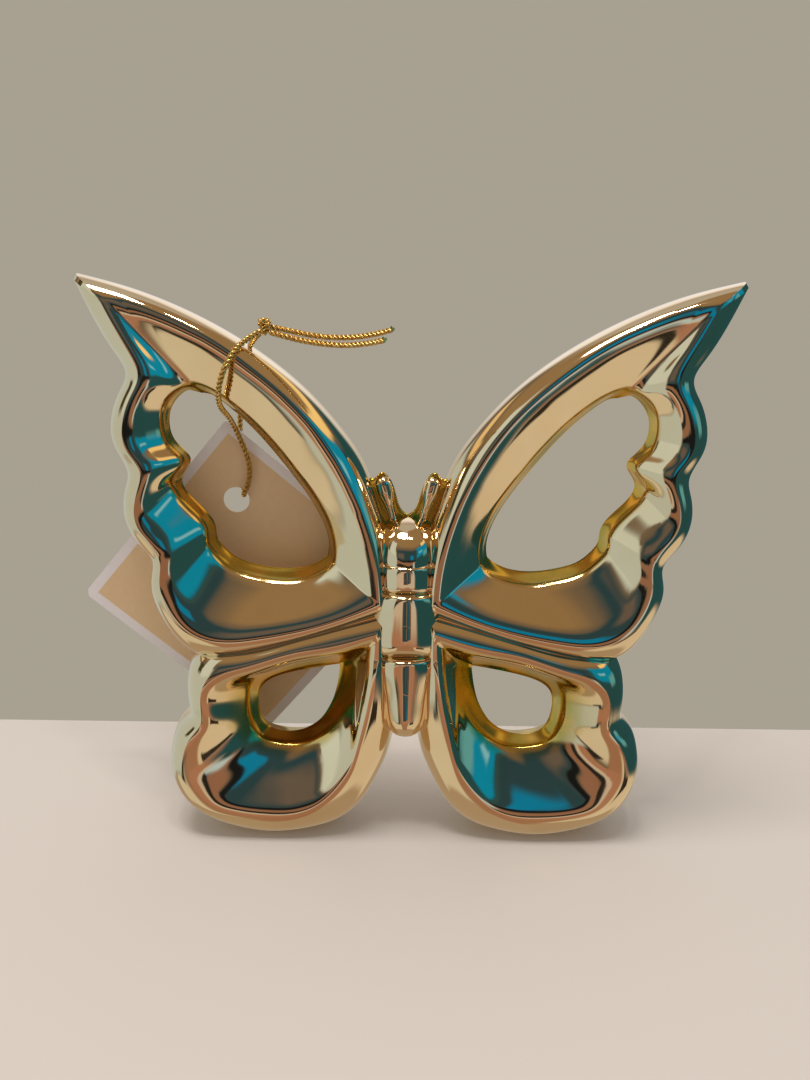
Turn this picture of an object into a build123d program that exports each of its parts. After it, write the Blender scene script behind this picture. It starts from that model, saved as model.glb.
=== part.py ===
from build123d import *
from math import pi, radians, sqrt, tan
import os

# Standing butterfly ornament in plated ceramic, with a square card tag on a knotted metallic cord.
# It stands on two flat feet at z = 0. X is the wing span, Y the thickness, with the front face
# towards -Y, and Z is up. The origin is the middle of the ground face. Every length is in
# millimetres. The wings are written for the right-hand side and mirrored for the left.

os.makedirs("parts", exist_ok=True)

# Driving sizes of the ornament
half_span = 72.5
height = 130.0
rim_depth = 11.0
tip_depth = 5.8
head_depth = 9.6
collar_depth = 10.0
thorax_depth = 10.8
abdomen_depth = 10.4
body_round = 3.2
cut_reach = 30.0

# Shares of the rim depth: the lip round each window, and how far a dish cut starts past the crest
lip_depth_share = 0.42
overrun_share = 0.04

# From the middle line of a rim to its crest: share of the way in, then share of the depth
bead_shares = [(0.03, 0.27), (0.12, 0.52), (0.29, 0.76), (0.54, 0.93), (0.86, 1.0)]

# Antennae: round clubs on stalks that taper towards the head, in a thin web beside the wing root
antenna_ball = 3.8
antenna_foot = 1.8
antenna_neck = 3.2
antenna_web = 1.8

# Hang tag, which leans on the back of the wings
tag_side = 57.0
tag_thickness = 0.45
tag_corner = 0.8
tag_hole = 6.2
tag_hole_rise = 21.0
tag_tilt = 5.0
tag_gap = 0.8
tag_centre_x = -38.9
tag_centre_z = 57.4

# Cord of the tag
cord = 1.2
cord_share = 0.45
knot_width = 3.2
knot_height = 4.4
knot_waist = 2.6
knot_end = 1.6
knot_turns = 3
knot_place = (-31.7, -0.5, 119.3)
loop_route = [
    (-32.6, -1.3, 117.9), (-34.3, -3.0, 117.0), (-35.9, -5.5, 115.7), (-37.3, -7.9, 114.0),
    (-38.7, -9.1, 111.7), (-39.8, -8.8, 109.2), (-40.7, -7.8, 106.7), (-41.2, -6.3, 104.3),
    (-41.4, -4.0, 102.2), (-41.0, -1.0, 100.5), (-40.4, 2.0, 98.8), (-39.8, 4.6, 96.5),
    (-39.0, 6.1, 93.9), (-38.0, 6.9, 91.2), (-37.2, 7.4, 88.4), (-37.0, 7.9, 85.6),
    (-37.5, 8.2, 82.5), (-38.9, 8.6, 79.7), (-39.0, 11.7, 79.4), (-39.4, 12.1, 82.7),
    (-39.6, 11.8, 87.0), (-39.7, 11.5, 91.4), (-39.6, 11.0, 96.0), (-39.3, 10.4, 100.8),
    (-38.6, 9.7, 105.4), (-37.8, 9.1, 109.4), (-36.9, 8.1, 112.6), (-35.7, 6.1, 115.1),
    (-34.2, 3.5, 116.8), (-32.5, 0.9, 118.0),
]
upper_end_route = [
    (-30.4, -0.2, 119.0), (-26.6, -1.2, 118.4), (-22.3, -2.8, 117.6), (-17.9, -4.9, 117.2),
    (-13.6, -7.4, 117.3), (-9.7, -10.2, 117.8), (-6.3, -13.0, 118.6), (-3.7, -15.7, 119.5),
]
lower_end_route = [
    (-30.4, -1.4, 117.9), (-26.8, -2.7, 117.1), (-22.7, -4.5, 116.3), (-18.4, -6.8, 115.9),
    (-14.3, -9.4, 115.8), (-10.6, -12.2, 116.2), (-7.5, -15.0, 116.8), (-5.2, -17.6, 117.5),
]

# Forewing outlines. Each row crosses the wing from its edge to its window:
# edge, crest of the rim, lip and waist of the window, as shares of half_span and height.
fore_lead_shares = [
    ((0.041, 0.440), (0.102, 0.464), (0.232, 0.517), (0.252, 0.523)),
    ((0.044, 0.500), (0.112, 0.502), (0.229, 0.538), (0.248, 0.541)),
    ((0.061, 0.560), (0.137, 0.561), (0.238, 0.568), (0.257, 0.568)),
    ((0.093, 0.618), (0.177, 0.628), (0.266, 0.607), (0.285, 0.603)),
    ((0.137, 0.685), (0.238, 0.696), (0.315, 0.651), (0.332, 0.644)),
    ((0.203, 0.742), (0.312, 0.758), (0.380, 0.700), (0.394, 0.689)),
    ((0.297, 0.802), (0.402, 0.809), (0.453, 0.747), (0.463, 0.735)),
    ((0.407, 0.855), (0.502, 0.854), (0.530, 0.786), (0.534, 0.773)),
    ((0.535, 0.902), (0.616, 0.897), (0.593, 0.810), (0.589, 0.797)),
    ((0.683, 0.944), (0.737, 0.929), (0.629, 0.819), (0.613, 0.803)),
    ((0.841, 0.977), (0.814, 0.944), (0.648, 0.822), (0.624, 0.804)),
    ((0.988, 0.998), (0.868, 0.949), (0.660, 0.822), (0.630, 0.804)),
]
fore_trail_shares = [
    ((0.997, 0.990), (0.872, 0.944), (0.664, 0.821), (0.634, 0.804)),
    ((0.952, 0.935), (0.833, 0.907), (0.672, 0.819), (0.648, 0.806)),
    ((0.894, 0.877), (0.790, 0.869), (0.681, 0.816), (0.664, 0.808)),
    ((0.858, 0.841), (0.770, 0.836), (0.693, 0.811), (0.681, 0.808)),
    ((0.881, 0.804), (0.794, 0.802), (0.726, 0.794), (0.714, 0.792)),
    ((0.909, 0.754), (0.823, 0.758), (0.748, 0.760), (0.737, 0.760)),
    ((0.897, 0.710), (0.814, 0.714), (0.731, 0.717), (0.717, 0.717)),
    ((0.866, 0.668), (0.775, 0.682), (0.684, 0.689), (0.670, 0.690)),
    ((0.877, 0.638), (0.786, 0.649), (0.712, 0.666), (0.697, 0.668)),
    ((0.883, 0.604), (0.800, 0.615), (0.723, 0.643), (0.706, 0.646)),
    ((0.863, 0.563), (0.781, 0.580), (0.676, 0.609), (0.661, 0.614)),
    ((0.828, 0.535), (0.742, 0.551), (0.632, 0.582), (0.617, 0.588)),
    ((0.804, 0.515), (0.730, 0.529), (0.619, 0.566), (0.604, 0.572)),
    ((0.811, 0.478), (0.732, 0.495), (0.621, 0.546), (0.604, 0.553)),
    ((0.797, 0.437), (0.720, 0.462), (0.601, 0.528), (0.586, 0.537)),
    ((0.756, 0.392), (0.690, 0.431), (0.568, 0.509), (0.555, 0.520)),
    ((0.702, 0.355), (0.640, 0.409), (0.530, 0.497), (0.518, 0.509)),
    ((0.621, 0.338), (0.571, 0.398), (0.472, 0.488), (0.463, 0.501)),
    ((0.483, 0.347), (0.472, 0.401), (0.394, 0.482), (0.394, 0.496)),
    ((0.345, 0.369), (0.331, 0.415), (0.314, 0.488), (0.323, 0.500)),
    ((0.214, 0.394), (0.194, 0.438), (0.261, 0.502), (0.276, 0.511)),
    ((0.055, 0.423), (0.104, 0.461), (0.234, 0.515), (0.254, 0.521)),
]

# Hindwing outlines in the same form, from the root round the outside and back to the root
hind_shares = [
    ((0.047, 0.452), (0.105, 0.388), (0.157, 0.343), (0.219, 0.316)),
    ((0.221, 0.428), (0.233, 0.363), (0.248, 0.345), (0.281, 0.310)),
    ((0.372, 0.402), (0.366, 0.348), (0.353, 0.334), (0.367, 0.300)),
    ((0.524, 0.380), (0.503, 0.322), (0.444, 0.315), (0.433, 0.288)),
    ((0.651, 0.362), (0.577, 0.306), (0.488, 0.297), (0.469, 0.274)),
    ((0.692, 0.331), (0.610, 0.288), (0.503, 0.278), (0.483, 0.260)),
    ((0.706, 0.296), (0.619, 0.268), (0.506, 0.258), (0.484, 0.243)),
    ((0.706, 0.258), (0.616, 0.243), (0.506, 0.238), (0.481, 0.226)),
    ((0.705, 0.232), (0.622, 0.224), (0.502, 0.218), (0.474, 0.211)),
    ((0.741, 0.208), (0.650, 0.203), (0.488, 0.199), (0.458, 0.195)),
    ((0.764, 0.174), (0.676, 0.178), (0.463, 0.185), (0.430, 0.185)),
    ((0.771, 0.135), (0.688, 0.142), (0.428, 0.178), (0.397, 0.182)),
    ((0.756, 0.092), (0.674, 0.111), (0.381, 0.174), (0.361, 0.183)),
    ((0.717, 0.056), (0.632, 0.080), (0.334, 0.175), (0.326, 0.189)),
    ((0.651, 0.025), (0.552, 0.065), (0.295, 0.183), (0.295, 0.200)),
    ((0.572, 0.006), (0.455, 0.060), (0.262, 0.194), (0.273, 0.212)),
    ((0.483, -0.005), (0.370, 0.061), (0.232, 0.209), (0.254, 0.229)),
    ((0.393, -0.006), (0.298, 0.074), (0.204, 0.232), (0.237, 0.249)),
    ((0.297, 0.002), (0.243, 0.100), (0.182, 0.255), (0.228, 0.268)),
    ((0.210, 0.020), (0.201, 0.132), (0.168, 0.277), (0.222, 0.284)),
    ((0.143, 0.054), (0.171, 0.165), (0.158, 0.296), (0.219, 0.296)),
    ((0.090, 0.105), (0.150, 0.215), (0.153, 0.315), (0.217, 0.304)),
    ((0.056, 0.150), (0.134, 0.262), (0.151, 0.325), (0.216, 0.308)),
    ((0.034, 0.215), (0.120, 0.310), (0.151, 0.332), (0.216, 0.311)),
    ((0.038, 0.320), (0.110, 0.355), (0.152, 0.337), (0.217, 0.313)),
    ((0.044, 0.425), (0.104, 0.384), (0.154, 0.341), (0.218, 0.315)),
]

# The moulded groove between forewing and hindwing, in the same shares
groove_shares = [
    (-0.05, 0.455), (0.103, 0.435), (0.232, 0.407), (0.346, 0.388),
    (0.495, 0.365), (0.608, 0.355), (0.697, 0.349), (0.850, 0.340),
]
groove_height_share = 0.4

# Right-hand outlines of the body pieces in the same shares. The head ends at its top and the
# abdomen at its foot, on the middle line; the thorax and the collar are open at both ends.
abdomen_shares = [(0.079, 0.352), (0.074, 0.292), (0.061, 0.240), (0.044, 0.209), (0.022, 0.195), (0.0, 0.192)]
thorax_shares = [(0.079, 0.352), (0.089, 0.375), (0.087, 0.425), (0.069, 0.470)]
collar_shares = [(0.062, 0.470), (0.067, 0.494), (0.061, 0.520)]
head_shares = [(0.058, 0.520), (0.059, 0.548), (0.050, 0.574), (0.028, 0.590), (0.0, 0.594)]
antenna_foot_share = (0.041, 0.577)
antenna_ball_share = (0.076, 0.651)
antenna_web_edge_shares = [
    (0.008, 0.588), (0.019, 0.604), (0.034, 0.625), (0.046, 0.648),
    (0.062, 0.664), (0.084, 0.672), (0.107, 0.661), (0.130, 0.666),
]
antenna_web_root_shares = [(0.130, 0.666), (0.150, 0.660), (0.100, 0.570), (0.008, 0.588)]

# The crest plane of the forewings leans back with height, from the groove to the wing tips
lean = (rim_depth - tip_depth) / (height * (1 - groove_height_share))
fore_foot_depth = rim_depth + lean * height * groove_height_share


def spot(shares):
    """A place in the front view, from its shares of the half span and the height."""
    return shares[0] * half_span, shares[1] * height


def between(start, end, share):
    """The place at a share of the way between two places."""
    return tuple(a + (b - a) * share for a, b in zip(start, end))


def column(runs, first, second, share):
    """Runs of places part of the way from one column of the outline rows to another."""
    return [[between(spot(row[first]), spot(row[second]), share) for row in run] for run in runs]


def mirrored_levels():
    """Shares of the way in and of the depth, from the front crest through the middle to the back."""
    return bead_shares[::-1] + [(0, 0)] + [(way, -depth) for way, depth in bead_shares]


def section(runs, depth_share, foot_depth, slant):
    """A closed face on the plane at one share of the rim depth, one smooth curve for each run."""
    slope = depth_share * slant
    stretch = sqrt(1 + slope * slope)
    plane = Plane(origin=(0, -depth_share * foot_depth, 0), x_dir=(1, 0, 0), z_dir=(0, -1, slope))
    with BuildSketch(plane) as face:
        with BuildLine():
            flat = [[(x, z * stretch) for x, z in run] for run in runs]
            for run, following in zip(flat, flat[1:] + flat[:1]):
                Spline(*run)
                Line(run[-1], following[0])
        make_face()
    return face.sketch


def wing(runs, foot_depth, slant):
    """A rounded rim with a dish inside it and a waisted window through, alike front and back."""
    rim = [section(column(runs, 0, 1, way), share, foot_depth, slant) for way, share in mirrored_levels()]
    crest = column(runs, 1, 2, -overrun_share)
    lip = column(runs, 2, 3, 0)
    waist = column(runs, 3, 3, 0)
    with BuildPart() as shape:
        loft(rim)
        for side in (-1, 1):
            dish = [
                section(crest, side * (1 + overrun_share), foot_depth, slant),
                section(lip, side * lip_depth_share, foot_depth, slant),
                section(waist, 0, foot_depth, slant),
            ]
            loft(dish, ruled=True, mode=Mode.SUBTRACT)
    return shape.part


def body_runs(outline):
    """The right-hand outline of a body piece and its mirror image, as one or two runs."""
    right = [spot(shares) for shares in outline]
    left = [(-x, z) for x, z in reversed(right)]
    if right[-1][0] == 0:
        return [right + left[1:]]
    return [right, left]


def toward_middle(runs, share):
    """A body outline drawn in towards its middle line, and a little from both its ends."""
    heights = [z for run in runs for _, z in run]
    low, high = min(heights) + body_round, max(heights) - body_round
    return [[between((x, z), (0, min(max(z, low), high)), share) for x, z in run] for run in runs]


body_pieces = {
    "head": (body_runs(head_shares), head_depth),
    "collar": (body_runs(collar_shares), collar_depth),
    "thorax": (body_runs(thorax_shares), thorax_depth),
    "abdomen": (body_runs(abdomen_shares), abdomen_depth),
}
groove = [spot(shares) for shares in groove_shares]


def beside_groove(far_height):
    """The flat region between the groove and a far height, above or below it."""
    with BuildSketch(Plane.XZ) as region:
        with BuildLine():
            Spline(*groove)
            Polyline(groove[-1], (groove[-1][0], far_height), (groove[0][0], far_height), groove[0])
        make_face()
    return region.sketch


def trimmed(shape, across_groove):
    """A wing cut back to the groove, the body pieces and the ground."""
    with BuildPart() as piece:
        add(shape)
        extrude(across_groove, amount=cut_reach, both=True, mode=Mode.SUBTRACT)
        for runs, depth in body_pieces.values():
            extrude(section(runs, 0, depth, 0), amount=cut_reach, both=True, mode=Mode.SUBTRACT)
        split(bisect_by=Plane.XY, keep=Keep.TOP)
    return piece.part


forewing = trimmed(
    wing([fore_lead_shares, fore_trail_shares], fore_foot_depth, lean), beside_groove(-cut_reach)
)
hindwing = trimmed(wing([hind_shares], rim_depth, 0), beside_groove(height))

for name, (runs, depth) in body_pieces.items():
    with BuildPart() as piece:
        loft([section(toward_middle(runs, way), share, depth, 0) for way, share in mirrored_levels()])
    piece.part.label = name
    export_step(piece.part, f"parts/{name}.step")
    if name == "head":
        head = piece.part

with BuildPart() as antenna:
    foot, ball = spot(antenna_foot_share), spot(antenna_ball_share)
    along = Vector(ball[0] - foot[0], 0, ball[1] - foot[1])
    with BuildSketch(Plane(origin=(foot[0], 0, foot[1]), z_dir=along)):
        Circle(antenna_foot / 2)
    with BuildSketch(Plane(origin=(ball[0], 0, ball[1]), z_dir=along)):
        Circle(antenna_neck / 2)
    loft()
    with Locations((ball[0], 0, ball[1])):
        Sphere(antenna_ball / 2)
    with BuildSketch(Plane.XZ):
        with BuildLine():
            Spline(*[spot(shares) for shares in antenna_web_edge_shares])
            Polyline(*[spot(shares) for shares in antenna_web_root_shares])
        make_face()
    extrude(amount=antenna_web / 2, both=True)
    add(forewing, mode=Mode.SUBTRACT)
    add(head, mode=Mode.SUBTRACT)

for name, shape in (("forewing", forewing), ("hindwing", hindwing), ("antenna", antenna.part)):
    for side in ("right", "left"):
        with BuildPart() as piece:
            add(shape if side == "right" else mirror(shape, about=Plane.YZ))
        piece.part.label = f"{name}_{side}"
        export_step(piece.part, f"parts/{name}_{side}.step")

# The tag hangs by one corner and leans as the forewing crests do. Its hole is on the diagonal.
tag_face_y = fore_foot_depth - lean * tag_centre_z + tag_gap
tag_plane = Plane(origin=(tag_centre_x, tag_face_y, tag_centre_z), x_dir=(1, 0, 0), z_dir=(0, -1, -lean))
with BuildPart() as hang_tag:
    with BuildSketch(tag_plane):
        RectangleRounded(tag_side, tag_side, tag_corner, rotation=45 + tag_tilt)
        with PolarLocations(tag_hole_rise, 1, start_angle=90 + tag_tilt):
            Circle(tag_hole / 2, mode=Mode.SUBTRACT)
    extrude(amount=-tag_thickness)
hang_tag.part.label = "hang_tag"
export_step(hang_tag.part, "parts/hang_tag.step")


def bends(route):
    """The arc radius at each inner point of a route: a share of the shorter run beside it."""
    points = [Vector(*place) for place in route]
    radii = []
    for before, corner, after in zip(points, points[1:], points[2:]):
        into, out = corner - before, after - corner
        half_turn = radians(into.get_angle(out)) / 2
        radii.append(cord_share * min(into.length, out.length) / tan(half_turn))
    return radii


def cord_tube(route):
    """A round tube along straight runs joined by tangent arcs."""
    with BuildPart() as tube:
        with BuildLine() as path:
            FilletPolyline(*route, radius=bends(route))
        line = path.wire()
        with BuildSketch(Plane(origin=line @ 0, z_dir=line % 0)):
            Circle(cord / 2)
        sweep(path=line)
    share = tube.part.volume / (pi * (cord / 2) ** 2 * line.length)
    print("cord length", round(line.length, 1), "volume over section times length", round(share, 4))
    print("arc radii", [round(radius, 1) for radius in bends(route)])
    return tube.part


for name, route in (
    ("tag_cord_loop", loop_route),
    ("tag_cord_end_upper", upper_end_route),
    ("tag_cord_end_lower", lower_end_route),
):
    with BuildPart() as piece:
        add(cord_tube(route))
    piece.part.label = name
    export_step(piece.part, f"parts/{name}.step")

# The knot: turns of cord drawn tight one above the other, about an upright axis
heights = [knot_height * (turn / knot_turns - 1 / 2) for turn in range(knot_turns + 1)]
waists = [knot_end / 2] + [knot_waist / 2] * (knot_turns - 1) + [knot_end / 2]
levels = list(zip(waists, heights))
with BuildPart() as cord_knot:
    with BuildSketch(Plane(origin=knot_place, x_dir=(1, 0, 0), z_dir=(0, -1, 0))):
        with BuildLine():
            for (low_x, low_z), (high_x, high_z) in zip(levels, levels[1:]):
                ThreePointArc((low_x, low_z), (knot_width / 2, (low_z + high_z) / 2), (high_x, high_z))
            Polyline(levels[-1], (0, heights[-1]), (0, heights[0]), levels[0])
        make_face()
    revolve(axis=Axis(knot_place, (0, 0, 1)))
cord_knot.part.label = "cord_knot"
export_step(cord_knot.part, "parts/cord_knot.step")
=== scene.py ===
from math import cos, pi, radians, sin

import bmesh
import bpy
import numpy as np
from mathutils import Euler, Matrix, Vector


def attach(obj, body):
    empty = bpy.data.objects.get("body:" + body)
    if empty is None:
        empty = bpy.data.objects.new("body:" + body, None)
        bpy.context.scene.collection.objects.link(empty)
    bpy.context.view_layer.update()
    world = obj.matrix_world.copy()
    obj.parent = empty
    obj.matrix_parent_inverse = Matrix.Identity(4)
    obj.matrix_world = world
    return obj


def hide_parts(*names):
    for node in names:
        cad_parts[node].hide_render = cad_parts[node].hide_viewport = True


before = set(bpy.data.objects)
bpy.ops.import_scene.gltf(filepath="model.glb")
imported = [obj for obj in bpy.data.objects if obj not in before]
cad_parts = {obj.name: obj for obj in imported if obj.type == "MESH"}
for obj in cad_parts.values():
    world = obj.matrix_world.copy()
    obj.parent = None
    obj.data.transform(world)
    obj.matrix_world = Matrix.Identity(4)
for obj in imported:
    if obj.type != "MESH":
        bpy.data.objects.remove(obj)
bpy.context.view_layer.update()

# Standing butterfly ornament in plated ceramic, with a card tag on a twisted metallic cord.
# Lengths are in metres. The front face looks towards -Y, the wings spread along X, Z is up.
# Left and right are those of someone who looks at the front.
MM = 0.001

# Wings: half the span, the height, and how far the rims stand from the middle plane, in front and
# behind. A forewing's faces lean in from the first depth at the groove to the second at the tip.
half_span = 72.5 * MM
height = 130.0 * MM
rim_depth = 11.0 * MM
tip_depth = 5.8 * MM
groove_height_share = 0.4
lean = (rim_depth - tip_depth) / (height * (1 - groove_height_share))
fore_foot_depth = rim_depth + lean * height * groove_height_share

# Crossing of a rim, from the edge to the window. A superellipse rises from the edge to the crest, a
# straight dish falls to the lip, and the wall bends in to the waist, halfway through the window.
# The rounding at the crest and the lip has set widths, held under a share of what they round.
rim_roundness = 2.25
lip_depth_share = 0.42
wall_bend = 1.3
crest_outer_round = 2.4 * MM
crest_outer_most = 0.4
crest_inner_round = 3.4 * MM
crest_inner_most = 0.45
lip_outer_round = 1.1 * MM
lip_outer_most = 0.35
lip_inner_share = 0.35

# Rows of points on the flank, the crest, the dish, the lip and the wall of one crossing
flank_rows = 16
crest_rows = 9
dish_rows = 8
lip_rows = 6
wall_rows = 6

# Crossings on either side that the crest, lip and waist are evened out over
window_ease = 5

# The amber of the window's wall runs out over the dish: how far on each wing, and how it fades
amber_reach_fore = 0.5 * MM
amber_reach_hind = 5.5 * MM
amber_fade = 0.6

# Points closer than this are one, and shorter edges are dropped
merge_distance = 1e-7
sliver_length = 1e-8

# Edges turned by more than this stay sharp
wing_sharp_angle = radians(32)
web_sharp_angle = radians(50)
card_sharp_angle = radians(40)

# Forewing outlines. Each row crosses the wing from its edge to its window:
# edge, crest of the rim, lip and waist of the window, as shares of half_span and height.
fore_lead_shares = [
    ((0.041, 0.440), (0.102, 0.464), (0.232, 0.517), (0.252, 0.523)),
    ((0.044, 0.500), (0.112, 0.502), (0.229, 0.538), (0.248, 0.541)),
    ((0.061, 0.560), (0.137, 0.561), (0.238, 0.568), (0.257, 0.568)),
    ((0.093, 0.618), (0.177, 0.628), (0.266, 0.607), (0.285, 0.603)),
    ((0.137, 0.685), (0.238, 0.696), (0.315, 0.651), (0.332, 0.644)),
    ((0.203, 0.742), (0.312, 0.758), (0.380, 0.700), (0.394, 0.689)),
    ((0.297, 0.802), (0.402, 0.809), (0.453, 0.747), (0.463, 0.735)),
    ((0.407, 0.855), (0.502, 0.854), (0.530, 0.786), (0.534, 0.773)),
    ((0.535, 0.902), (0.616, 0.897), (0.593, 0.810), (0.589, 0.797)),
    ((0.683, 0.944), (0.737, 0.929), (0.629, 0.819), (0.613, 0.803)),
    ((0.841, 0.977), (0.814, 0.944), (0.648, 0.822), (0.624, 0.804)),
    ((0.988, 0.998), (0.868, 0.949), (0.660, 0.822), (0.630, 0.804)),
]
fore_trail_shares = [
    ((0.997, 0.990), (0.872, 0.944), (0.664, 0.821), (0.634, 0.804)),
    ((0.952, 0.935), (0.833, 0.907), (0.672, 0.819), (0.648, 0.806)),
    ((0.894, 0.877), (0.790, 0.869), (0.681, 0.816), (0.664, 0.808)),
    ((0.858, 0.841), (0.770, 0.836), (0.693, 0.811), (0.681, 0.808)),
    ((0.881, 0.804), (0.794, 0.802), (0.726, 0.794), (0.714, 0.792)),
    ((0.909, 0.754), (0.823, 0.758), (0.748, 0.760), (0.737, 0.760)),
    ((0.897, 0.710), (0.814, 0.714), (0.731, 0.717), (0.717, 0.717)),
    ((0.866, 0.668), (0.775, 0.682), (0.684, 0.689), (0.670, 0.690)),
    ((0.877, 0.638), (0.786, 0.649), (0.712, 0.666), (0.697, 0.668)),
    ((0.883, 0.604), (0.800, 0.615), (0.723, 0.643), (0.706, 0.646)),
    ((0.863, 0.563), (0.781, 0.580), (0.676, 0.609), (0.661, 0.614)),
    ((0.828, 0.535), (0.742, 0.551), (0.632, 0.582), (0.617, 0.588)),
    ((0.804, 0.515), (0.730, 0.529), (0.619, 0.566), (0.604, 0.572)),
    ((0.811, 0.478), (0.732, 0.495), (0.621, 0.546), (0.604, 0.553)),
    ((0.797, 0.437), (0.720, 0.462), (0.601, 0.528), (0.586, 0.537)),
    ((0.756, 0.392), (0.690, 0.431), (0.568, 0.509), (0.555, 0.520)),
    ((0.702, 0.355), (0.640, 0.409), (0.530, 0.497), (0.518, 0.509)),
    ((0.621, 0.338), (0.571, 0.398), (0.472, 0.488), (0.463, 0.501)),
    ((0.483, 0.347), (0.472, 0.401), (0.394, 0.482), (0.394, 0.496)),
    ((0.345, 0.369), (0.331, 0.415), (0.314, 0.488), (0.323, 0.500)),
    ((0.214, 0.394), (0.194, 0.438), (0.261, 0.502), (0.276, 0.511)),
    ((0.055, 0.423), (0.104, 0.461), (0.234, 0.515), (0.254, 0.521)),
]

# Hindwing outlines in the same form, from the root round the outside and back to the root
hind_shares = [
    ((0.047, 0.452), (0.105, 0.388), (0.157, 0.343), (0.219, 0.316)),
    ((0.221, 0.428), (0.233, 0.363), (0.248, 0.345), (0.281, 0.310)),
    ((0.372, 0.402), (0.366, 0.348), (0.353, 0.334), (0.367, 0.300)),
    ((0.524, 0.380), (0.503, 0.322), (0.444, 0.315), (0.433, 0.288)),
    ((0.651, 0.362), (0.577, 0.306), (0.488, 0.297), (0.469, 0.274)),
    ((0.692, 0.331), (0.610, 0.288), (0.503, 0.278), (0.483, 0.260)),
    ((0.706, 0.296), (0.619, 0.268), (0.506, 0.258), (0.484, 0.243)),
    ((0.706, 0.258), (0.616, 0.243), (0.506, 0.238), (0.481, 0.226)),
    ((0.705, 0.232), (0.622, 0.224), (0.502, 0.218), (0.474, 0.211)),
    ((0.741, 0.208), (0.650, 0.203), (0.488, 0.199), (0.458, 0.195)),
    ((0.764, 0.174), (0.676, 0.178), (0.463, 0.185), (0.430, 0.185)),
    ((0.771, 0.135), (0.688, 0.142), (0.428, 0.178), (0.397, 0.182)),
    ((0.756, 0.092), (0.674, 0.111), (0.381, 0.174), (0.361, 0.183)),
    ((0.717, 0.056), (0.632, 0.080), (0.334, 0.175), (0.326, 0.189)),
    ((0.651, 0.025), (0.552, 0.065), (0.295, 0.183), (0.295, 0.200)),
    ((0.572, 0.006), (0.455, 0.060), (0.262, 0.194), (0.273, 0.212)),
    ((0.483, -0.005), (0.370, 0.061), (0.232, 0.209), (0.254, 0.229)),
    ((0.393, -0.006), (0.298, 0.074), (0.204, 0.232), (0.237, 0.249)),
    ((0.297, 0.002), (0.243, 0.100), (0.182, 0.255), (0.228, 0.268)),
    ((0.210, 0.020), (0.201, 0.132), (0.168, 0.277), (0.222, 0.284)),
    ((0.143, 0.054), (0.171, 0.165), (0.158, 0.296), (0.219, 0.296)),
    ((0.090, 0.105), (0.150, 0.215), (0.153, 0.315), (0.217, 0.304)),
    ((0.056, 0.150), (0.134, 0.262), (0.151, 0.325), (0.216, 0.308)),
    ((0.034, 0.215), (0.120, 0.310), (0.151, 0.332), (0.216, 0.311)),
    ((0.038, 0.320), (0.110, 0.355), (0.152, 0.337), (0.217, 0.313)),
    ((0.044, 0.425), (0.104, 0.384), (0.154, 0.341), (0.218, 0.315)),
]

# How many crossings each run of outline rows is filled in to
fore_lead_crossings = 190
fore_trail_crossings = 330
hind_crossings = 340

# Body. Each swelling has the right-hand half of its outline as shares of half_span and height, its
# depth in front, the share of its width that shows between the wings, and how far its middle line
# stays off its lower and its upper end, which rounds them.
body_swellings = {
    "abdomen": dict(
        outline=[
            (0.079, 0.352), (0.074, 0.292), (0.061, 0.240),
            (0.044, 0.209), (0.022, 0.195), (0.0, 0.192),
        ],
        depth=11.5 * MM, shown_share=0.74, low_round=6.0 * MM, high_round=1.6 * MM,
    ),
    "thorax": dict(
        outline=[(0.079, 0.352), (0.089, 0.375), (0.087, 0.425), (0.069, 0.470)],
        depth=11.9 * MM, shown_share=0.68, low_round=6.0 * MM, high_round=1.6 * MM,
    ),
    "collar": dict(
        outline=[(0.062, 0.470), (0.067, 0.494), (0.061, 0.520)],
        depth=11.0 * MM, shown_share=0.64, low_round=3.6 * MM, high_round=1.6 * MM,
    ),
    "head": dict(
        outline=[(0.058, 0.520), (0.059, 0.548), (0.050, 0.574), (0.028, 0.590), (0.0, 0.594)],
        depth=10.6 * MM, shown_share=0.60, low_round=1.2 * MM, high_round=9.6 * MM,
    ),
}
body_roundness = 2.3
# The back is flatter than the front, which leaves the tag room to swing behind it
body_back_share = 0.9
# A swelling that meets another runs on into it, narrowing to a share of its end's width on the way
body_overlap = 1.3 * MM
body_end_width = 0.62
body_end_reach = 0.8
body_outline_points = 60
body_rings = 41

# Antennae: foot of the stalk and middle of the ball, and their widths. The stalk starts to swell
# after a share of its length, and swells over another.
antenna_foot_share = (0.041, 0.577)
antenna_ball_share = (0.076, 0.651)
antenna_ball = 3.8 * MM
antenna_foot = 1.8 * MM
antenna_swell_start = 0.30
antenna_swell_length = 0.55
antenna_rings = 44
antenna_sides = 32

# Thin web beside each antenna: its free edge with a rolled rim, its root, and its dipped faces
web_thickness = 0.9 * MM
web_rim = 1.2 * MM
web_rim_wrap = pi * 0.72
web_face_start = web_rim * 1.3
web_dip = 0.3 * MM
web_rim_rows = 15
web_face_rows = 9
web_crossings = 90
web_edge_shares = [
    (0.0, 0.597), (0.017, 0.604), (0.034, 0.625), (0.046, 0.648),
    (0.062, 0.664), (0.084, 0.672), (0.107, 0.661), (0.130, 0.666),
]
web_root_shares = [(0.0, 0.550), (0.060, 0.565), (0.100, 0.580), (0.128, 0.620), (0.152, 0.650)]

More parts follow.
